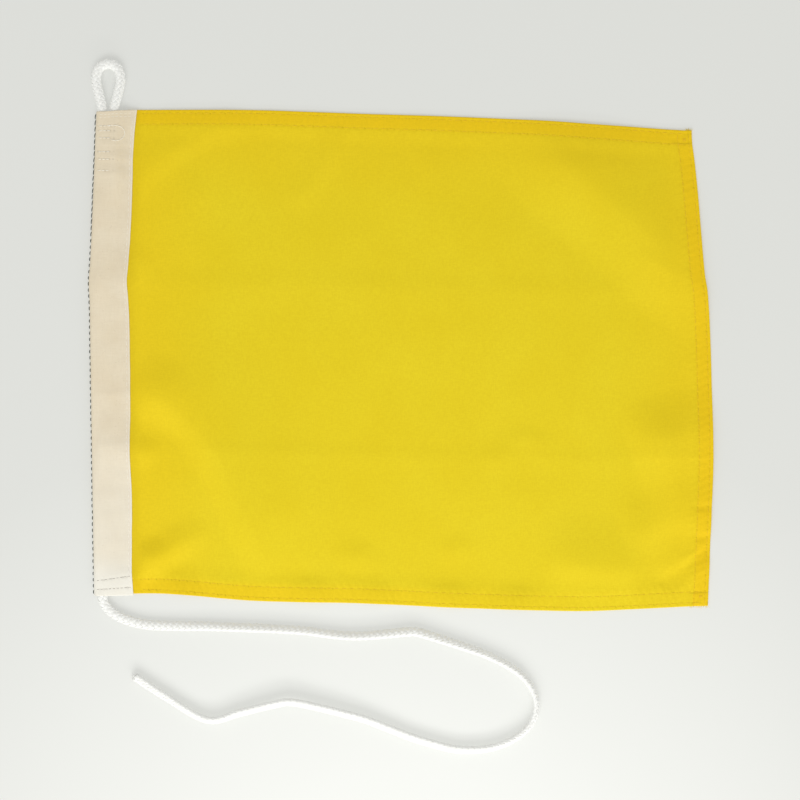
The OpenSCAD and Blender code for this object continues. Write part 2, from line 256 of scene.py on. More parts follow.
def relief(x, y):
    """How far the laid cloth stands off the surface at x and y."""
    x, y = np.asarray(x) / MM, np.asarray(y) / MM
    height = 0.35 + 0.35 * soft_noise(x, y, 62, 3.1) + 0.12 * soft_noise(x, y, 21, 8.4)
    for each in RIDGES:
        height = height + ridge(x, y, *each)
    for middle_x, middle_y, wide, high, rise in SWELLINGS:
        gap = np.hypot((x - middle_x) / wide, (y - middle_y) / high)
        height = height + rise * (1 - ease(gap))
    return np.maximum(height, 0) * MM


def leaf_folds(x, y):
    """How far the folds lift the heading's front leaf, and the cloth that is sewn to it."""
    folds = relief(x, y) * FOLDS_RELIEF
    for fold_y, rise, above, below in HEADING_FOLDS:
        t = np.where(y > fold_y * MM, (y / MM - fold_y) / above, (fold_y - y / MM) / below)
        folds = folds + rise * MM * np.maximum(1 - np.sqrt((t * t + 0.01) / 1.01), 0) ** 1.4
    return folds


# ---------- meshes ----------


def add_object(name, data, place=(0, 0, 0)):
    item = bpy.data.objects.new(name, data)
    item.location = place
    bpy.context.scene.collection.objects.link(item)
    return item


def make_mesh(name, points, faces, body=None, replaces=(), slot=None):
    """Smooth-shaded piece that rides on a body and stands for CAD nodes."""
    mesh = bpy.data.meshes.new(name)
    mesh.from_pydata(np.asarray(points, float).tolist(), [], np.asarray(faces).tolist()
                     if isinstance(faces, np.ndarray) else faces)
    mesh.polygons.foreach_set("use_smooth", [True] * len(mesh.polygons))
    mesh.update()
    piece = add_object(name, mesh)
    if body:
        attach(piece, body)
    if replaces:
        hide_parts(*replaces)
    if slot:
        piece.data.materials.append(MATERIALS[slot])
    return piece


def paint(piece, name, values):
    """Stores one number per vertex for a material to read."""
    attribute = piece.data.attributes.new(name, "FLOAT", "POINT")
    attribute.data.foreach_set("value", np.asarray(values, np.float32).ravel())


def grid_faces(rows, columns, closed_rows=False, closed_columns=False):
    """Quads over a grid of rows and columns, either of which may close on itself."""
    i, j = np.meshgrid(np.arange(rows if closed_rows else rows - 1),
                       np.arange(columns if closed_columns else columns - 1), indexing="ij")
    i, j = i.ravel(), j.ravel()
    up, on = (i + 1) % rows, (j + 1) % columns
    return np.stack([i * columns + j, i * columns + on, up * columns + on, up * columns + j], 1)


def tube_faces(steps, sides, base, mirrored=False):
    """Faces of a closed tube whose points start at base; mirrored if its rings turn the other way."""
    walls = grid_faces(steps, sides, closed_columns=True) + base
    first = list(range(base, base + sides))
    last = [i + (steps - 1) * sides for i in first]
    if mirrored:
        return walls.tolist() + [first[::-1], last]
    return walls[:, ::-1].tolist() + [first, last[::-1]]


def unit(v):
    return v / np.linalg.norm(v, axis=-1, keepdims=True)


def tubes(paths, radius, sides, shape=None):
    """Points and faces of closed tubes along paths[tube, step, xyz]; shape scales each step's radius."""
    paths = np.asarray(paths, float)
    count, steps = paths.shape[:2]
    along = unit(np.gradient(paths, axis=1))
    side = unit(np.cross(along, (0.0, 0.0, 1.0)) + 1e-12)
    up = np.cross(side, along)
    turn = np.arange(sides) * 2 * math.pi / sides
    size = radius * (np.ones(steps) if shape is None else np.asarray(shape))
    ring = (side[:, :, None] * np.cos(turn)[:, None] + up[:, :, None] * np.sin(turn)[:, None])
    points = paths[:, :, None] + ring * size[None, :, None, None]
    faces = []
    for k in range(count):
        faces += tube_faces(steps, sides, k * steps * sides)
    return points.reshape(-1, 3), faces


# ---------- materials ----------


class Surface:
    """A procedural material: a Principled shader with helpers to feed it."""

    def __init__(self, name, **settings):
        self.material = bpy.data.materials.new(name)
        self.material.use_nodes = True
        self.tree = self.material.node_tree
        self.shader = self.tree.nodes["Principled BSDF"]
        for key, value in settings.items():
            self.shade(key.replace("_", " "), value)
        self.place = self.add("ShaderNodeTexCoord").outputs["Object"]

    def feed(self, socket, value):
        """Links another node's output to a socket, or sets the socket to a number or colour."""
        if isinstance(value, bpy.types.NodeSocket):
            self.tree.links.new(value, socket)
        else:
            socket.default_value = value

    def add(self, kind, inputs=None, **settings):
        """New node; inputs are numbers, colours or other nodes' outputs."""
        node = self.tree.nodes.new(kind)
        for key, value in settings.items():
            setattr(node, key, value)
        for key, value in (inputs or {}).items():
            self.feed(node.inputs[key], value)
        return node

    def noise(self, scale, detail=2.0, place=None, roughness=0.5):
        return self.add("ShaderNodeTexNoise", {"Vector": place or self.place, "Scale": scale,
                                               "Detail": detail, "Roughness": roughness}).outputs["Fac"]

    def stretched(self, x, y, z, place=None):
        return self.add("ShaderNodeMapping", {"Vector": place or self.place,
                                              "Scale": (x, y, z)}).outputs["Vector"]

    def bands(self, direction, scale, wobble, detail_scale=1.0):
        return self.add("ShaderNodeTexWave", {"Vector": self.place, "Scale": scale, "Distortion": wobble,
                                              "Detail": 1.0, "Detail Scale": detail_scale},
                        wave_type="BANDS", bands_direction=direction).outputs["Fac"]

    def yarns(self, direction, pitch, wobble):
        """Bands across X or Y, one yarn of a weave each."""
        return self.bands(direction, math.pi / 10 / pitch, wobble, 0.4)

    def attribute(self, name, output="Fac"):
        return self.add("ShaderNodeAttribute", attribute_name=name).outputs[output]

    def math(self, operation, a, b):
        return self.add("ShaderNodeMath", {0: a, 1: b}, operation=operation).outputs[0]

    def span(self, value, low, high, to_low=0.0, to_high=1.0):
        return self.add("ShaderNodeMapRange", {"Value": value, "From Min": low, "From Max": high,
                                               "To Min": to_low, "To Max": to_high}).outputs["Result"]

    def mix(self, share, a, b):
        """Colour a turned towards colour b."""
        node = self.add("ShaderNodeMix", data_type="RGBA", blend_type="MIX")
        for key, value in (("Factor_Float", share), ("A_Color", a), ("B_Color", b)):
            self.feed(next(s for s in node.inputs if s.identifier == key), value)
        return next(s for s in node.outputs if s.identifier == "Result_Color")

    def shade(self, name, value):
        """Feeds one of the shader's own inputs."""
        self.feed(self.shader.inputs[name], value)

    def bump(self, height, distance, strength):
        node = self.add("ShaderNodeBump", {"Height": height, "Distance": distance,
                                           "Strength": strength})
        self.shade("Normal", node.outputs["Normal"])


def rgb(r, g, b):
    return (r, g, b, 1.0)


def woven(surface, pitch, wobble):
    """Height of a plain weave: yarns both ways, with uneven thickness."""
    warp = surface.yarns("X", pitch, wobble)
    weft = surface.yarns("Y", pitch, wobble)
    return surface.math("MULTIPLY", surface.math("ADD", warp, weft), 0.5)


def slubbed(surface, along, across):
    """Uneven thickness of the yarns both ways."""
    slub_x = surface.noise(1.0, 2.0, surface.stretched(along, across, along))
    slub_y = surface.noise(1.0, 2.0, surface.stretched(across, along, along))
    return surface.math("ADD", slub_x, slub_y)


def bunting():
    s = Surface("yellow_bunting", Roughness=0.62, Sheen_Weight=0.03, Sheen_Roughness=0.45,
                Specular_IOR_Level=0.09)
    weave = woven(s, 0.00042, 0.5)
    slubs = slubbed(s, 380, 1500)
    cloudy = s.noise(22, 3.0)
    base = s.mix(s.span(cloudy, 0.3, 0.7), rgb(0.81, 0.636, 0.0145), rgb(0.835, 0.67, 0.0185))
    # Deeper orange where the hem number is high; along the bottom hem it is held lower as painted light.
    hem = s.mix(s.attribute("hem"), base, rgb(0.885, 0.59, 0.009))
    fibre = s.mix(s.span(slubs, 0.75, 1.25, 0.0, 0.36), hem, rgb(0.70, 0.51, 0.012))
    lines = s.mix(s.span(weave, 0.1, 0.6, 0.16, 0.0), fibre, rgb(0.55, 0.36, 0.008))
    # Turned towards dark brown by a painted number per vertex: painted shade in the needle holes and in a
    # strip beside the heading's edge, and thin dark lines across the fly hem.
    s.shade("Base Color", s.mix(s.attribute("hole"), lines, rgb(0.30, 0.19, 0.006)))
    s.shade("Roughness", s.span(slubs, 0.7, 1.3, 0.52, 0.72))
    s.bump(s.math("ADD", weave, s.math("MULTIPLY", slubs, 0.5)), 0.00007, 0.55)
    return s.material


def canvas():
    s = Surface("cream_canvas", Roughness=0.85, Sheen_Weight=0.1, Specular_IOR_Level=0.2)
    weave = woven(s, 0.00062, 1.2)
    slubs = slubbed(s, 180, 1100)
    base = s.mix(s.span(s.noise(60, 3.0), 0.3, 0.7), rgb(0.81, 0.705, 0.527), rgb(0.845, 0.752, 0.58))
    specks = s.mix(s.span(s.noise(900, 2.0), 0.66, 0.74, 0.0, 0.3), base, rgb(0.50, 0.40, 0.26))
    yarn = s.mix(s.span(slubs, 0.75, 1.25, 0.0, 0.24), specks, rgb(0.70, 0.60, 0.43))
    lines = s.mix(s.span(weave, 0.1, 0.6, 0.14, 0.0), yarn, rgb(0.52, 0.43, 0.29))
    paler = s.mix(s.attribute("pale"), lines, rgb(0.88, 0.86, 0.78))
    # Turned towards dark brown by painted shade in the needle holes of the heading's stitch rows.
    s.shade("Base Color", s.mix(s.attribute("hole"), paler, rgb(0.20, 0.17, 0.12)))
    s.bump(s.math("ADD", weave, s.math("MULTIPLY", slubs, 0.6)), 0.00012, 0.7)
    return s.material


def rope_yarn():
    """White braid with a weak even glow that keeps its shaded side light."""
    s = Surface("white_rope", Roughness=0.42, Sheen_Weight=0.2, Specular_IOR_Level=0.4,
                Subsurface_Weight=0.08, Subsurface_Scale=0.001)
    s.shade("Subsurface Radius", (1.0, 0.9, 0.8))
    along = s.attribute("strand_place", "Vector")
    fibres = s.noise(1.0, 3.0, s.stretched(260, 5.0, 1.0, along), 0.6)
    soiled = s.noise(140, 3.0)
    base = s.mix(s.span(soiled, 0.35, 0.75), rgb(0.75, 0.755, 0.725), rgb(0.71, 0.71, 0.68))
    s.shade("Base Color", s.mix(s.span(fibres, 0.35, 0.7, 0.25, 0.0), base, rgb(0.62, 0.62, 0.60)))
    s.shade("Emission Color", rgb(1.0, 1.0, 0.97))
    s.shade("Emission Strength", 0.16)
    s.shade("Roughness", s.span(fibres, 0.3, 0.7, 0.5, 0.32))
    s.bump(fibres, 0.00012, 0.6)
    return s.material


def thread(name, light, dark, roughness):
    s = Surface(name, Roughness=roughness, Sheen_Weight=0.15, Specular_IOR_Level=0.3)
    twist = s.bands("DIAGONAL", 900.0, 2.0)
    fuzz = s.noise(2500, 2.0)
    s.shade("Base Color", s.mix(s.math("MULTIPLY", twist, fuzz), light, dark))
    s.bump(s.math("ADD", twist, fuzz), 0.00005, 0.8)
    return s.material


def paper():
    """Pale floor with a weak glow, strongest in an oval pool, that keeps the shadows faint."""
    s = Surface("pale_floor", Roughness=0.9, Specular_IOR_Level=0.15)
    s.shade("Base Color", s.mix(s.noise(3, 2.0), rgb(0.39, 0.395, 0.38), rgb(0.405, 0.41, 0.395)))
    from_pool = s.add("ShaderNodeMapping", {"Vector": s.place, "Location": (0, 0.33, 0),
                                            "Scale": (0.75, 1, 1)}).outputs["Vector"]
    away = s.add("ShaderNodeVectorMath", {0: from_pool}, operation="LENGTH").outputs["Value"]
    s.shade("Emission Strength", s.span(away, 0.06, 0.29, 0.485, 0.352))
    s.shade("Emission Color", rgb(1.0, 1.01, 0.965))
    s.bump(s.noise(600, 3.0), 0.00005, 0.3)
    return s.material


MATERIALS = {
    "yellow_bunting": bunting(),
    "cream_canvas": canvas(),
    "white_rope": rope_yarn(),
    "tracer_yarn": thread("tracer_yarn", rgb(0.030, 0.045, 0.036), rgb(0.008, 0.014, 0.012), 0.8),
    "cream_thread": thread("cream_thread", rgb(0.94, 0.91, 0.82), rgb(0.87, 0.82, 0.70), 0.6),
    "grey_thread": thread("grey_thread", rgb(0.40, 0.365, 0.32), rgb(0.22, 0.195, 0.17), 0.7),
    "yellow_thread": thread("yellow_thread", rgb(0.81, 0.56, 0.011), rgb(0.73, 0.48, 0.010), 0.6),
}

# ---------- camera, floor and light ----------

CAMERA_PLACE = (-0.0008, -0.0399, 1.1685)  # straight above the object, picture's up is +Y


def add_camera():
    data = bpy.data.cameras.new("camera")
    data.sensor_width = 36
    data.lens = 85
    bpy.context.scene.camera = add_object("camera", data, CAMERA_PLACE)


def add_floor():
    half = 30.0
    mesh = bpy.data.meshes.new("floor")
    mesh.from_pydata([(-half, -half, 0), (half, -half, 0), (half, half, 0), (-half, half, 0)], [],
                     [(0, 1, 2, 3)])
    mesh.materials.append(paper())
    floor = add_object("floor", mesh, (0, 0, -0.0002))


def add_area_light(name, place, target, size, power, colour, spread=180):
    data = bpy.data.lights.new(name, "AREA")
    data.spread = math.radians(spread)
    data.shape = "RECTANGLE"
    data.size, data.size_y = size
    data.energy = power
    data.color = colour
    light = add_object(name, data, place)
    light.rotation_mode = "QUATERNION"
    light.rotation_quaternion = (Vector(target) - Vector(place)).to_track_quat("-Z", "Y")


def add_lights():
    add_area_light("key", (-0.35, -2.9, 3.0), (0, -0.05, 0), (3.2, 2.2), 83.0, (1.0, 0.995, 0.98))
    add_area_light("low_front", (0.02, -0.6, 0.235), (0.0, -0.06, 0), (0.6, 0.08), 0.37,
                   (1.0, 1.0, 0.995), 110)
    world = bpy.data.worlds.new("soft_studio")
    world.use_nodes = True
    background = world.node_tree.nodes["Background"]
    background.inputs["Color"].default_value = rgb(1.0, 1.0, 0.985)
    background.inputs["Strength"].default_value = 0.62
    bpy.context.scene.world = world
    bpy.context.scene.view_settings.view_transform = "Standard"


# ---------- rope ----------

STRANDS = 4  # strands that run each way round the braid
BRAID_STEP = 0.00047  # length between two rings of a strand
BRAID_LENGTH = STRANDS * 0.0038  # one full turn of a strand
STRAND_W = 0.0033  # width of a strand
STRAND_T = 0.00090  # thickness of a strand
STRAND_WAVE = 0.00030  # how far a strand rises over another
STRAND_SIDES = 8
CORE_SHARE = 1.02  # size of the core against the strands' middle lines
ROPE_Z = SLEEVE_H / 2  # height of the rope's middle inside the heading
EYE_CUT_Y = Y_TOP - 0.0025  # the eye's piece starts inside the heading


def half_height(roll):
    """Half height of the rope's section when it is rolled."""
    angle = np.radians(roll)
    return np.hypot(ROPE_W / 2 * np.sin(angle), ROPE_H / 2 * np.cos(angle))


def rope_stretches():
    """The rope's stretches from the short leg's end to the tail's end, each as rows of x, y, z, roll."""
    def leg(y_from, y_to, x_of):
        y = np.linspace(y_from, y_to, 2 + int(abs(y_to - y_from) / 0.002))
        return np.stack([x_of(y), y, np.full_like(y, ROPE_Z), np.zeros_like(y)], 1)

    def short_x(y):
        return left_x(y) + LEG_X + LEG_GAP

    def long_x(y):
        return left_x(y) + leg_u(y)

    eye = smooth_curve(EYE_SHAPE, 6)[::-1] * MM
    middle = left_x(Y_TOP) + LEG_X + LEG_GAP / 2
    loop = np.stack([middle + eye[:, 0], Y_TOP + EYE_LEN + eye[:, 1], np.full(len(eye), ROPE_Z),
                     np.zeros(len(eye))], 1)
    tail = smooth_curve(TAIL_ROUTE, 6)
    tail[:, 2] += half_height(tail[:, 3])
    return {
        "short_rope_leg": leg(SHORT_LEG_FOOT, EYE_CUT_Y, short_x),
        "eye_loop": np.vstack([leg(EYE_CUT_Y, Y_TOP, short_x), loop, leg(Y_TOP, EYE_CUT_Y, long_x)]),
        "heading_rope": leg(EYE_CUT_Y, Y_FOOT, long_x),
        "tail_cord": tail,
    }


class RopeLine:
    """The whole rope as one line, so that its strands run on from piece to piece."""

    def __init__(self):
        stretches = rope_stretches()
        rows = np.vstack(list(stretches.values()))
        gaps = np.linalg.norm(np.diff(rows[:, :3], axis=0), axis=1)
        keep = np.concatenate([[True], gaps > 1e-6])
        self.rows = rows[keep]
        steps = np.linalg.norm(np.diff(self.rows[:, :3], axis=0), axis=1)
        self.length = np.concatenate([[0], np.cumsum(steps)])
        ends = np.cumsum([len(s) for s in stretches.values()])
        marks = [0.0] + [self.length[np.sum(keep[:end]) - 1] for end in ends]
        self.span = dict(zip(stretches, zip(marks, marks[1:])))

    def at(self, s):
        """Places, directions and rolls at lengths s along the rope."""
        def place(t):
            return np.stack([np.interp(t, self.length, self.rows[:, k]) for k in range(3)], 1)

        near = 0.0004
        roll = np.radians(np.interp(s, self.length, self.rows[:, 3]))
        return place(s), unit(place(s + near) - place(s - near)), roll


def section_axes(along, roll):
    """Directions of the flattened section's width and thickness."""
    side = unit(np.cross(along, (0.0, 0.0, 1.0)))
    up = np.cross(side, along)
    c, s = np.cos(roll)[:, None], np.sin(roll)[:, None]
    return side * c + up * s, up * c - side * s


def braid(name, node, rope, body, step):
    """Plaited strands round a core along one stretch of the rope: half run one way round it and half
    the other, each passing over one strand and under the next."""
    start, end = rope.span[node]
    s = np.linspace(start, end, int((end - start) / step))
    place, along, roll = rope.at(s)
    wide, thick = section_axes(along, roll)
    mean_w = ROPE_W / 2 - STRAND_WAVE - STRAND_T / 2
    mean_h = ROPE_H / 2 - STRAND_WAVE - STRAND_T / 2
    turn = np.arange(STRAND_SIDES) * 2 * math.pi / STRAND_SIDES
    plump = np.sign(np.sin(turn)) * np.abs(np.sin(turn)) ** 0.6
    points, faces, marks = [], [], []
    for hand in (1, -1):
        for k in range(STRANDS):
            angle = hand * 2 * math.pi * s / BRAID_LENGTH + 2 * math.pi * k / STRANDS
            wave = hand * STRAND_WAVE * np.cos(STRANDS * angle)
            c, n = np.cos(angle)[:, None], np.sin(angle)[:, None]
            outward = unit(wide * c / mean_w + thick * n / mean_h)
            middle = place + wide * c * mean_w + thick * n * mean_h + outward * wave[:, None]
            run = unit(np.gradient(middle, axis=0))
            across = unit(np.cross(run, outward))
            outward = np.cross(across, run)
            ring = (across[:, None] * np.cos(turn)[:, None] * STRAND_W / 2
                    + outward[:, None] * plump[:, None] * STRAND_T / 2)
            faces += tube_faces(len(s), STRAND_SIDES, len(points) * len(s) * STRAND_SIDES)
            points.append((middle[:, None] + ring).reshape(-1, 3))
            around, length = np.meshgrid(np.cos(turn) * STRAND_W / 2 + k * 0.01 + hand * 0.05, s)
            marks.append(np.stack([around.ravel(), length.ravel(),
                                   np.full(around.size, hand * 0.1)], 1))
    core = (place[:, None] + wide[:, None] * np.cos(turn)[:, None] * mean_w * CORE_SHARE
            + thick[:, None] * np.sin(turn)[:, None] * mean_h * CORE_SHARE)
    faces += tube_faces(len(s), STRAND_SIDES, len(points) * len(s) * STRAND_SIDES, mirrored=True)
    points.append(core.reshape(-1, 3))
    marks.append(points[-1])
    piece = make_mesh(name, np.vstack(points), faces, body, (node,), "white_rope")
    store_strand_place(piece, np.vstack(marks))
    return piece


def store_strand_place(piece, marks):
    """Keeps each vertex's place across and along its strand, for the fibres in the material."""
    attribute = piece.data.attributes.new("strand_place", "FLOAT_VECTOR", "POINT")
    attribute.data.foreach_set("vector", marks.astype(np.float32).ravel())


def frayed_end(rope):
    """Loose filaments at the tail's bare end."""
    random = np.random.default_rng(11)
    end = rope.length[-1]
    place, along, roll = rope.at(np.array([end - 0.0006]))
    wide, thick = section_axes(along, roll)
    steps = 6
    paths = []
    for _ in range(90):
        around, reach = random.uniform(0, 2 * math.pi), math.sqrt(random.uniform(0.02, 1))
        root = (place[0] + wide[0] * math.cos(around) * reach * ROPE_W * 0.42
                + thick[0] * math.sin(around) * reach * ROPE_H * 0.40)
        lean = wide[0] * random.normal(0, 0.28) + thick[0] * random.normal(0, 0.16)
        length = random.uniform(0.0012, 0.0036)
        t = np.linspace(0, 1, steps)[:, None]
        path = root + along[0] * t * length + lean * (t * t) * length
        path[:, 2] = np.maximum(path[:, 2], 0.00012)
        paths.append(path)
    points, faces = tubes(paths, 0.00008, 4, np.linspace(1, 0.5, steps))
    piece = make_mesh("tail_fray", points, faces, "heading", (), "white_rope")
    store_strand_place(piece, points)
    return piece


def add_rope():
    rope = RopeLine()
    tail = braid("tail_braid", "tail_cord", rope, "heading", BRAID_STEP)
    fray = frayed_end(rope)
    start, end = rope.span["tail_cord"]
    path = rope.at(np.linspace(start, end, 400))[0]
    braid("long_leg_braid", "heading_rope", rope, "heading", 2 * BRAID_STEP)
    braid("short_leg_braid", "short_rope_leg", rope, "heading", 2 * BRAID_STEP)
    eye = braid("eye_braid", "eye_loop", rope, None, BRAID_STEP)
    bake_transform(eye)


# ---------- cloth ----------

TUCK = 0.005  # cloth held between the two leaves of the heading
CLOTH_L = FLY + TUCK  # length of the cloth, from inside the heading to the fly
EDGE_BAND = 0.016  # along the edges the cloth keeps its exact distances
HEM_SLOPE = 0.0100  # over which the cloth comes down from a hem
FINE = 0.0008  # mesh spacing along the hems
COARSE_EVERY = 3  # fine spacings in one spacing of the open cloth
LOWER_EVERY = 6  # the same on the lower side, which is seldom seen
HEM_EVERY = 3  # on the lower side, one mesh line in this many crosses a hem
EDGE_SPACINGS = 19  # fine spacings that the edge lines take the place of
FLY_LINES_W = 0.0148  # strip along the fly that the edge lines fill
EDGE_R = 0.0005  # rounding of the cloth's edge
HOLE_W = 0.00048  # reach of a needle hole's dip to each side
HOLE_DEPTH = 0.00018
ROWS = (ROW_INSET, ROW_INSET + ROW_GAP)
# Distances of the mesh lines from a hemmed edge, in millimetres, with a step at the turned-in fold
EDGE_LINES = np.array([0, 0.08, 0.25, 0.5, 1.0, 1.6, 2.3, 3.0, 3.8, 4.8, 5.8, 6.8, 7.6, 8.3, 8.9, 9.5,
                       9.65, 10.2, 11, 12, 13.2, 14.6]) * MM


def spread(place, total, low, high):
    """Place along an edge-to-edge line from low to high that is total long when the cloth is flat."""
    inner = (place - EDGE_BAND) / (total - 2 * EDGE_BAND)
    middle = low + EDGE_BAND + inner * (high - low - 2 * EDGE_BAND)
    near_low, near_high = place < EDGE_BAND, place > total - EDGE_BAND
    return np.where(near_low, low + place, np.where(near_high, high - total + place, middle))


def cloth_place(c, r):
    """Where the point c along the fly and r up the hoist of the flat cloth lies."""
    x, y = X_LEFT + HEADING_W - TUCK + c, Y_FOOT + r
    for _ in range(6):
        y = spread(r, HOIST, bottom_y(x), top_y(x))
        x = spread(c, CLOTH_L, seam_x(y) - TUCK, fly_x(y))
    return x, y


def needle_holes(along, distance, row, width, pitch=STITCH_PITCH):
    """1 at the holes of a stitch row, falling to 0 between them and to both sides."""
    gap = np.abs((along + pitch / 2) % pitch - pitch / 2)
    return np.exp(-(gap / width) ** 2 - ((distance - row) / width) ** 2)


def edge_gaps(c, r):
    """Distances from the nearer of the top and bottom edges, and from the fly."""
    return np.minimum(r, HOIST - r), CLOTH_L - c


def hem_rise(gap):
    """1 on a hem, easing to 0 beside it, at a distance from the edge."""
    return ease((HEM_W + HEM_SLOPE - gap) / HEM_SLOPE)


def cloth_thickness(c, r):
    """Thickness of the layers of cloth, as seen from above."""
    rise_side, rise_fly = (hem_rise(gap) for gap in edge_gaps(c, r))
    return CLOTH_T + (HEM_T - CLOTH_T) * (np.maximum(rise_side, rise_fly) + 0.5 * rise_side * rise_fly)


def cloth_holes(c, r):
    side, fly = edge_gaps(c, r)
    found = np.zeros_like(c)
    for row in ROWS:
        found = np.maximum(found, needle_holes(c, side, row, HOLE_W))
        found = np.maximum(found, needle_holes(r, fly, row, HOLE_W))
    return found


def puckers(c, r):
    """Small gathers that the stitches pull into the hems."""
    side, fly = edge_gaps(c, r)
    total = np.zeros_like(c)
    for along, distance, seed in ((c, side, 1.7), (r, fly, 5.2)):
        reach = ease((0.0165 - distance) / 0.006)
        uneven = 0.75 + 0.7 * soft_noise(along, distance, 0.011, seed)
        lean = 0.0009 * soft_noise(along, distance, 0.03, seed + 2)
        total += reach * uneven * np.cos(2 * math.pi * (along + lean) / STITCH_PITCH
                                         + distance / 0.0016) * 0.00007
        long_wave = soft_noise(along, distance * 0.4, 0.014, seed + 4)
        total += reach * long_wave * 0.00022
        for row in ROWS:
            total -= 0.00005 * bell((distance - row) / 0.0006)
    return total - HOLE_DEPTH * cloth_holes(c, r)


def cloth_base(c, r, x, y):
    """Height of the cloth's underside, or of the hem's where it is turned."""
    edge = np.minimum(*edge_gaps(c, r))
    settled = 0.6 + 0.4 * ease(edge / 0.03)
    held = (CANVAS_T + CLEAR) * ease((0.0125 - c) / 0.007)
    from_heading = ease((c - TUCK) / 0.008)
    lifted = leaf_folds(x, y) * ease((0.018 - c) / 0.013)
    return np.maximum(relief(x, y) * settled * (0.15 + 0.85 * from_heading), held + lifted)


def cloth_faces_height(c, r):
    """x, y, height of the upper face and height of the lower face at a point of the flat cloth."""
    x, y = cloth_place(c, r)
    edge = np.minimum(*edge_gaps(c, r))
    base = cloth_base(c, r, x, y)
    thick = cloth_thickness(c, r)
    border = np.minimum(edge, c)
    rounding = quarter(border / EDGE_R)
    top = base + thick / 2 + thick / 2 * rounding + puckers(c, r) * rounding
    turned = edge < HEM_W
    bottom = np.where(turned, base + thick / 2 * (1 - rounding), top - CLOTH_T)
    bottom = np.where(border < 1e-7, top, bottom)
    return x, y, np.maximum(top, thick / 2), np.maximum(bottom, 0)


def flat_points(step_every):
    """Points of the flat cloth: close together along the hems, further apart in the open cloth."""
    count_c, count_r = round((CLOTH_L - FLY_LINES_W) / FINE), round(HOIST / FINE)
    open_c = np.arange(count_c + 1)
    open_r = np.arange(EDGE_SPACINGS, count_r - EDGE_SPACINGS + 1)
    c, r = np.meshgrid(np.concatenate([open_c * FINE, CLOTH_L - EDGE_LINES]),
                       np.concatenate([EDGE_LINES, open_r * FINE, HOIST - EDGE_LINES]))
    lines = len(EDGE_LINES)
    in_open = np.pad(np.ones((len(open_r), len(open_c)), bool), ((lines, lines), (0, lines)))
    row_kept = np.pad((open_r - EDGE_SPACINGS) % step_every == 0, (lines, lines))
    column_kept = np.pad(open_c % step_every == 0, (0, lines))
    return c, r, ~in_open | (row_kept[:, None] & column_kept)


def triangulate(c, r):
    """Triangles between points of the flat cloth."""
    found = geometry.delaunay_2d_cdt([Vector(p) for p in zip(c / MM, r / MM)], [], [], 0, 1e-6)
    flat = np.array([tuple(v) for v in found[0]]) * MM
    return flat[:, 0], flat[:, 1], found[2]


def cloth_side(lower):
    """Points, faces and flat places of the cloth's upper or lower side."""
    c, r, keep = flat_points(LOWER_EVERY if lower else COARSE_EVERY)
    on_edge = (c <= 0) | (c >= CLOTH_L) | (r <= 0) | (r >= HOIST)
    if lower:
        row_kept, column_kept = (i % HEM_EVERY == 0 for i in np.indices(c.shape))
        side, fly = (gap < EDGE_BAND - 0.001 for gap in edge_gaps(c, r))
        keep = keep & ((side & fly) | (side & column_kept) | (fly & row_kept) | ~(side | fly))
    keep = keep | on_edge
    c, r, faces = triangulate(c[keep], r[keep])
    x, y, top, bottom = cloth_faces_height(c, r)
    faces = [f[::-1] for f in faces] if lower else faces
    return np.stack([x, y, bottom if lower else top], 1), faces, c, r


def add_cloth():
    upper, upper_faces, c, r = cloth_side(lower=False)
    lower, lower_faces, lower_c, lower_r = cloth_side(lower=True)
    count = len(upper)
    faces = upper_faces + [[i + count for i in f] for f in lower_faces]
    cloth = make_mesh("field_cloth", np.vstack([upper, lower]), faces, None,
                      ("field_panel", "field_hoist_strip"), "yellow_bunting")
    c, r = np.concatenate([c, lower_c]), np.concatenate([r, lower_r])
    side, fly = edge_gaps(c, r)
    edge = np.minimum(side, fly)
    bottom_hem = (r < HEM_W + 0.001) & (fly > HEM_W)
    # Deeper orange where the hem lies three layers deep. Along the bottom hem there is less of it, fading
    # out towards the fly: painted light where the bottom is more brightly lit.
    hem = ease((HEM_W + 0.003 - edge) / 0.006) * np.where(bottom_hem, 0.8 - 2.4 * c, 0.9)
    inside = np.maximum(c - TUCK, 0)
    upper_border = np.minimum(np.minimum(HOIST - r, fly), inside)
    golden = 0.36 * ease(1 - upper_border / 0.07)
    paint(cloth, "hem", np.maximum(hem, golden))
    # Painted shade in the needle holes of the hems, uneven from hole to hole.
    hole = cloth_holes(c, r) * ease(0.6 + 1.3 * soft_noise(c, r, 0.006, 7.7))
    # A thin dark line across the fly hem, 8.2 mm in from the top and bottom edges.
    tacked = ease((0.008 - np.abs(fly - 0.006)) / 0.004) * bell((side - 0.0082) / 0.0005)
    # Painted shade in a 6 mm strip of the cloth beside the heading's edge.
    shade = 0.12 * ease(1 - inside / 0.006)
    strong = 0.33 + 0.25 * bottom_hem * ease(1 - c / 0.16)
    paint(cloth, "hole", np.maximum(np.maximum(hole * strong, tacked * 0.35), shade))
    weld(cloth)
    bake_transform(cloth)


def weld(piece):
    """Joins the vertices that the two sides share along the edge."""
    mesh = bmesh.new()
    mesh.from_mesh(piece.data)
    bmesh.ops.remove_doubles(mesh, verts=mesh.verts, dist=2e-6)
    mesh.to_mesh(piece.data)
    mesh.free()


# ---------- heading ----------

SEAM_INSET = 0.002  # seam row from the front leaf's edge
LEAF_MARGIN = 0.0015  # flat strip along the front leaf's edge
END_R = 0.0005  # rounding of the heading's two ends


def seam_height(y):
    """Height of the front leaf's face over the cloth that it holds."""
    hem = hem_rise(np.minimum(y - Y_FOOT, Y_TOP - y))
    return 2 * CANVAS_T + CLOTH_T + 2 * CLEAR + (HEM_T - CLOTH_T) * hem


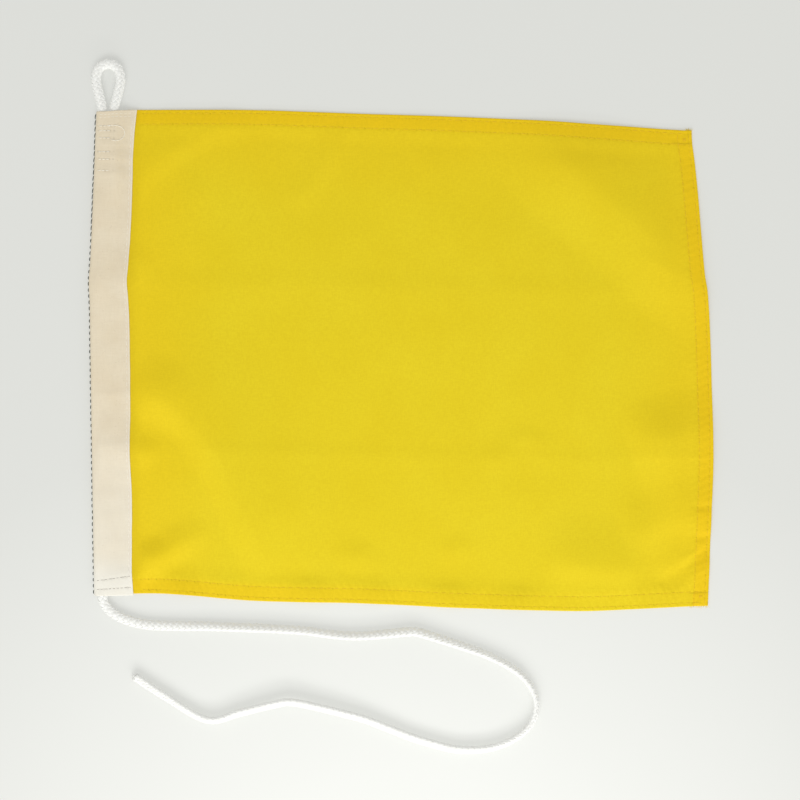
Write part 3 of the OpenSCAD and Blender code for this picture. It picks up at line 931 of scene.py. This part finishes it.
def heading_rows():
    """Rows of stitching across the heading: (height y, from u, to u, pitch, tilt)."""
    top = [(Y_TOP - d, 0.0034, HEADING_W - LEAF_MARGIN, 0.0024, 0.0) for d in (0.002, 0.004)]
    box = [(Y_TOP - d, 0.0036, TWO_LEG_TOP - 0.0006, 0.0024, 0.0)
           for d in (0.0105, 0.0135, 0.0179, 0.0265, 0.031, 0.038)]
    upper = [(Y_FOOT + 0.0095, 0.003, HEADING_W + 0.0005, 0.0024, 0.12)]
    lower = [(Y_FOOT + 0.004, 0.003, HEADING_W + 0.0005, 0.0024, 0.05)]
    return {"heading_top_thread": top, "eye_box_thread": box, "foot_thread_upper": upper,
            "foot_thread_lower": lower}


def heading_holes(u, y):
    found = np.zeros(np.broadcast(u, y).shape)
    for name, rows in heading_rows().items():
        for row_y, u0, u1, pitch, tilt in rows if name != "heading_top_thread" else []:
            inside = (u > u0 - pitch) & (u < u1 + pitch)
            holes = needle_holes(u - u0 + pitch / 2, y - tilt * (u - u0), row_y, 0.0005, pitch)
            found = np.maximum(found, np.where(inside, holes, 0))
    return found * ease(0.45 + 1.6 * soft_noise(u, y, 0.0025, 9.3))


def heading_shift(u, y):
    """How far the point u from the fold is carried sideways by the uneven width of the heading."""
    bow = seam_bow((y - Y_FOOT) / HOIST) + soft_noise(y, 0 * y, 0.009, 4.4) * 0.00010
    return bow * ease((u - 0.010) / 0.013)


def heading_drop(u, y):
    """How far the heading's top edge dips towards the fold."""
    return 0.0016 * ease(1.1 - u / HEADING_W) * ease((y - Y_TOP + 0.012) / 0.012)


def heading_place(u, y):
    return left_x(y) + u + heading_shift(u, y), y - heading_drop(u, y)


def hump(u, top_u):
    """1 over the rope, easing to 0 at the seam."""
    t = np.clip((u - top_u) / (HEADING_W - LEAF_MARGIN - top_u), 0, 1)
    return 0.25 * (1 + np.cos(math.pi * t)) + 0.5 * (1 - t)


def heading_face(u, y):
    """Height of the heading's upper face at distance u from its left fold."""
    seam_z = seam_height(y)
    fold = FOLD_R + np.sqrt(np.maximum(FOLD_R ** 2 - np.maximum(FOLD_R - u, 0) ** 2, 0))
    lean = leg_u(y) - LEG_X
    both = ease((y - SHORT_LEG_FOOT + 0.022) / 0.026)
    share = hump(u, ONE_LEG_TOP + lean) * (1 - both) + hump(u, TWO_LEG_TOP + lean) * both
    height = np.where(u <= FOLD_R, fold, seam_z + (SLEEVE_H - seam_z) * share)
    x = left_x(y) + u
    inward = ease(u / 0.004)
    wrinkles = (soft_noise(x + 0.7 * y, y - 0.7 * x, 0.012, 2.3) * 0.00016
                + soft_noise(x * 0.5, y, 0.006, 6.1) * 0.00006)
    bead = 0.00010 * bell((u - HEADING_W + 0.0007) / 0.00045)
    folds = leaf_folds(x, y)
    grooves = np.zeros_like(height)
    for rows in heading_rows().values():
        for row_y, u0, u1, _, tilt in rows:
            inside = ease((u - u0 + 0.001) / 0.001) * ease((u1 + 0.001 - u) / 0.001)
            grooves -= 0.00010 * inside * bell((y - tilt * (u - u0) - row_y) / 0.0007)
    seam = -0.0001 * bell((u - HEADING_W + SEAM_INSET) / 0.0006)
    bumps = wrinkles + folds * ease((u - 0.001) / 0.006) + grooves + seam + bead
    return height + inward * bumps - 0.00016 * heading_holes(u, y)


def heading_section():
    """Distances u from the fold: back leaf from its edge to the fold, turn of the fold, front leaf."""
    back = np.linspace(HEADING_W - 0.0003, FOLD_R, 12)
    turn = np.linspace(0, math.pi, 15)[1:-1]
    front = np.concatenate([np.linspace(FOLD_R, HEADING_W - 0.0008, 50),
                            HEADING_W - np.array([0.0005, 0.00025, 0.0001, 0.0])])
    return back, turn, front


def add_heading():
    ends = np.array([0, 0.0001, 0.00025, 0.0005])
    y = np.concatenate([Y_FOOT + ends, np.arange(Y_FOOT + 0.001, Y_TOP - 0.0009, 0.0008),
                        (Y_TOP - ends)[::-1]])[:, None]
    back, turn, front = heading_section()
    edge = np.minimum(y - Y_FOOT, Y_TOP - y)
    rolled = (1 - quarter(edge / END_R)) * 0.0002

    def face(inset):
        radius = FOLD_R - inset
        back_z = np.zeros(len(back)) + inset + rolled
        fold_u = FOLD_R - radius * np.sin(turn) + 0 * y
        fold_z = FOLD_R - radius * np.cos(turn) + 0 * y
        front_u = front[None, :] + 0 * y
        corner = 1 - quarter((HEADING_W - front_u) / 0.00045)
        front_z = heading_face(front_u, y) - inset - rolled - (0.5 - inset / CANVAS_T) * 0.0003 * corner
        u = np.hstack([back[None, :] + 0 * y, fold_u, front_u])
        z = np.hstack([back_z, fold_z, front_z])
        return np.stack([*heading_place(u, y), z], 2), u

    outer, u = face(0)
    inner, _ = face(CANVAS_T)
    points = np.concatenate([outer, inner[:, ::-1]], 1)
    rows, columns = points.shape[:2]
    faces = grid_faces(rows, columns, closed_columns=True)[:, ::-1].tolist()
    half = columns // 2
    for base, flip in ((0, 1), ((rows - 1) * columns, -1)):
        for k in range(half - 1):
            quad = [base + k, base + k + 1, base + columns - 2 - k, base + columns - 1 - k]
            faces.append(quad[::flip])
    heading = make_mesh("heading_canvas", points.reshape(-1, 3), faces, "heading", ("heading_tape",),
                        "cream_canvas")
    u = np.concatenate([u, u[:, ::-1]], 1)
    y = y + 0 * u
    front_side = np.concatenate([np.ones_like(outer[..., 0]), np.zeros_like(inner[..., 0])], 1)
    # Paler along the front leaf's edge and over the lower part of the heading, most at its foot.
    near_edge = bell((u - HEADING_W + 0.0004) / 0.0005)
    paler = (0.4 * near_edge + 0.4 * ease((Y_FOOT + 0.13 - y) / 0.1)
            + 0.5 * ease((Y_FOOT + 0.03 - y) / 0.024))
    paint(heading, "pale", np.clip(paler, 0, 1))
    # Painted shade in the needle holes on the front leaf.
    holes = np.where(points[..., 2] > FOLD_R * 0.4, heading_holes(u, y), 0)
    paint(heading, "hole", holes * front_side * 0.4)


# ---------- thread ----------

STITCH_STEPS = 7
STITCH_ARCH = np.sin(np.linspace(0, math.pi, STITCH_STEPS))
STITCH_SHAPE = [0.55, 0.9, 1, 1, 1, 0.9, 0.55]


def sewn(node):
    """Name of the piece that stands for a thread's CAD node."""
    return node.replace("_thread", "").replace("_backtack", "_tack") + "_stitches"


def stitch_path(start, end, height_of, rise, dip):
    """Thread from hole to hole, up over the cloth between them; start and end are flat places."""
    t = np.linspace(0, 1, STITCH_STEPS)[:, None]
    flat = np.asarray(start) + (np.asarray(end) - np.asarray(start)) * t
    place = height_of(flat[:, 0], flat[:, 1])
    place[:, 2] += -dip + (rise + dip) * np.minimum(STITCH_ARCH * 1.5, 1)
    return place


def on_cloth(c, r):
    x, y, top, _ = cloth_faces_height(c, r)
    return np.stack([x, y, top], 1)


def on_heading(u, y):
    return np.stack([*heading_place(u, y), heading_face(u, y)], 1)


def stitches(node, ends, height_of, slot, body=None, radius=0.00012, rise=0.00006, dip=0.00024):
    """One piece of thread that stands for a CAD node, made of stitches given by their two holes. With
    no body it rides on none, and its place is baked into its points."""
    paths = [stitch_path(a, b, height_of, rise, dip) for a, b in ends]
    points, faces = tubes(paths, radius, 6, STITCH_SHAPE)
    piece = make_mesh(sewn(node), points, faces, body, (node,), slot)
    if body is None:
        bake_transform(piece)


def hem_rows():
    """Stitch rows along the three hems, in places of the flat cloth."""
    def holes(first, total):
        gap = STITCH_PITCH * 0.06
        return [(k * STITCH_PITCH + gap, (k + 1) * STITCH_PITCH - gap)
                for k in range(first, int(total / STITCH_PITCH))]

    along, up = holes(2, CLOTH_L - 0.002), holes(0, HOIST - 0.001)
    for label, inset in zip(("outer", "inner"), ROWS):
        row = [(a, b) for a, b in along if b < CLOTH_L - ROW_INSET]
        for side, r in (("top", HOIST - inset), ("bottom", inset)):
            stitches(f"{side}_hem_{label}_thread", [((a, r), (b, r)) for a, b in row], on_cloth,
                     "yellow_thread")
        c = CLOTH_L - inset
        stitches(f"fly_hem_{label}_thread", [((c, a), (c, b)) for a, b in up], on_cloth,
                 "yellow_thread", "field", rise=0.00010)


def backtacks():
    for name, r in (("fly_top_backtack", HOIST - 0.006), ("fly_bottom_backtack", 0.006)):
        places = [CLOTH_L - 0.0056 + k * 0.0007 for k in range(3)]
        ends = [((c, r - 0.0012), (c, r + 0.0012)) for c in places]
        stitches(name, ends, on_cloth, "yellow_thread", "field", rise=0.00020)


def heading_threads():
    for name, rows in heading_rows().items():
        slot = "grey_thread" if name.startswith("foot") else "cream_thread"
        ends = []
        for row_y, u0, u1, pitch, tilt in rows:
            for k in range(int((u1 - u0) / pitch)):
                a, b = u0 + (k - 0.42) * pitch, u0 + (k + 0.42) * pitch
                ends.append(((a, row_y + tilt * (a - u0)), (b, row_y + tilt * (b - u0))))
        if name == "eye_box_thread":
            turn = [(u * MM, Y_TOP - d * MM) for u, d in BOX_TURN]
            ends += zip(turn, turn[1:])
            stitches(name, ends, on_heading, slot, "heading", 0.0002, rise=0.00014, dip=0.00004)
        else:
            stitches(name, ends, on_heading, slot, "heading")
    pitch = 0.0036
    ends = []
    for k in range(int((HOIST - 0.006) / pitch)):
        y = Y_FOOT + 0.003 + k * pitch
        ends.append(((HEADING_W - SEAM_INSET, y), (HEADING_W - SEAM_INSET, y + pitch * 0.84)))
    stitches("heading_seam_thread", ends, on_heading, "cream_thread", "heading", 0.00013)


def tracer():
    """Dark yarn whipped along the left fold; its dashes nearly join in the upper part."""
    pitch = 0.0038
    random = np.random.default_rng(5)
    paths = []
    for k in range(int((HOIST - 0.003) / pitch)):
        y = Y_FOOT + 0.0012 + k * pitch
        packed = ease((y - 0.052) / 0.02)
        length = 0.0021 + 0.0012 * packed + random.uniform(-0.0002, 0.0002)
        t = np.linspace(0, 1, STITCH_STEPS)
        path_y = y + t * length
        lean = (t - 0.5) * 0.00035 * (0.3 + packed) + random.uniform(-0.00008, 0.00008)
        arch = np.sin(math.pi * t) * 0.00022
        x = left_x(path_y) - 0.00008 - arch + lean
        z = FOLD_R + 0.0006 + 0.0002 * t
        paths.append(np.stack([x, path_y, z], 1))
    points, faces = tubes(paths, 0.00027, 6, STITCH_SHAPE)
    make_mesh(sewn("tracer_thread"), points, faces, "heading", ("tracer_thread",), "tracer_yarn")


def corner_frays():
    """Loose yarn ends at the fly's two corners."""
    random = np.random.default_rng(3)
    steps = 5
    t = np.linspace(0, 1, steps)[:, None]
    paths = []
    for r, back, up in ((HOIST - 0.0004, 0.004, 1), (0.0004, 0.012, -1)):
        for _ in range(40):
            x, y, top, _ = cloth_faces_height(np.array([CLOTH_L - random.uniform(0.0002, back)]),
                                              np.array([r]))
            root = np.array([x[0], y[0], top[0] * 0.6])
            reach = np.array([random.normal(0, 0.0005), up * random.uniform(0.0004, 0.0019), 0])
            curl = np.array([random.normal(0, 0.0005), 0, random.uniform(0, 0.0003)])
            paths.append(root + reach * t + curl * t * t)
    points, faces = tubes(paths, 0.00006, 4, np.linspace(1, 0.6, steps))
    make_mesh("corner_fray", points, faces, "field", (), "yellow_bunting")


# ---------- the scene ----------

add_camera()
add_lights()
add_rope()
add_floor()
tracer()
heading_threads()
add_heading()
hem_rows()
backtacks()
corner_frays()
add_cloth()
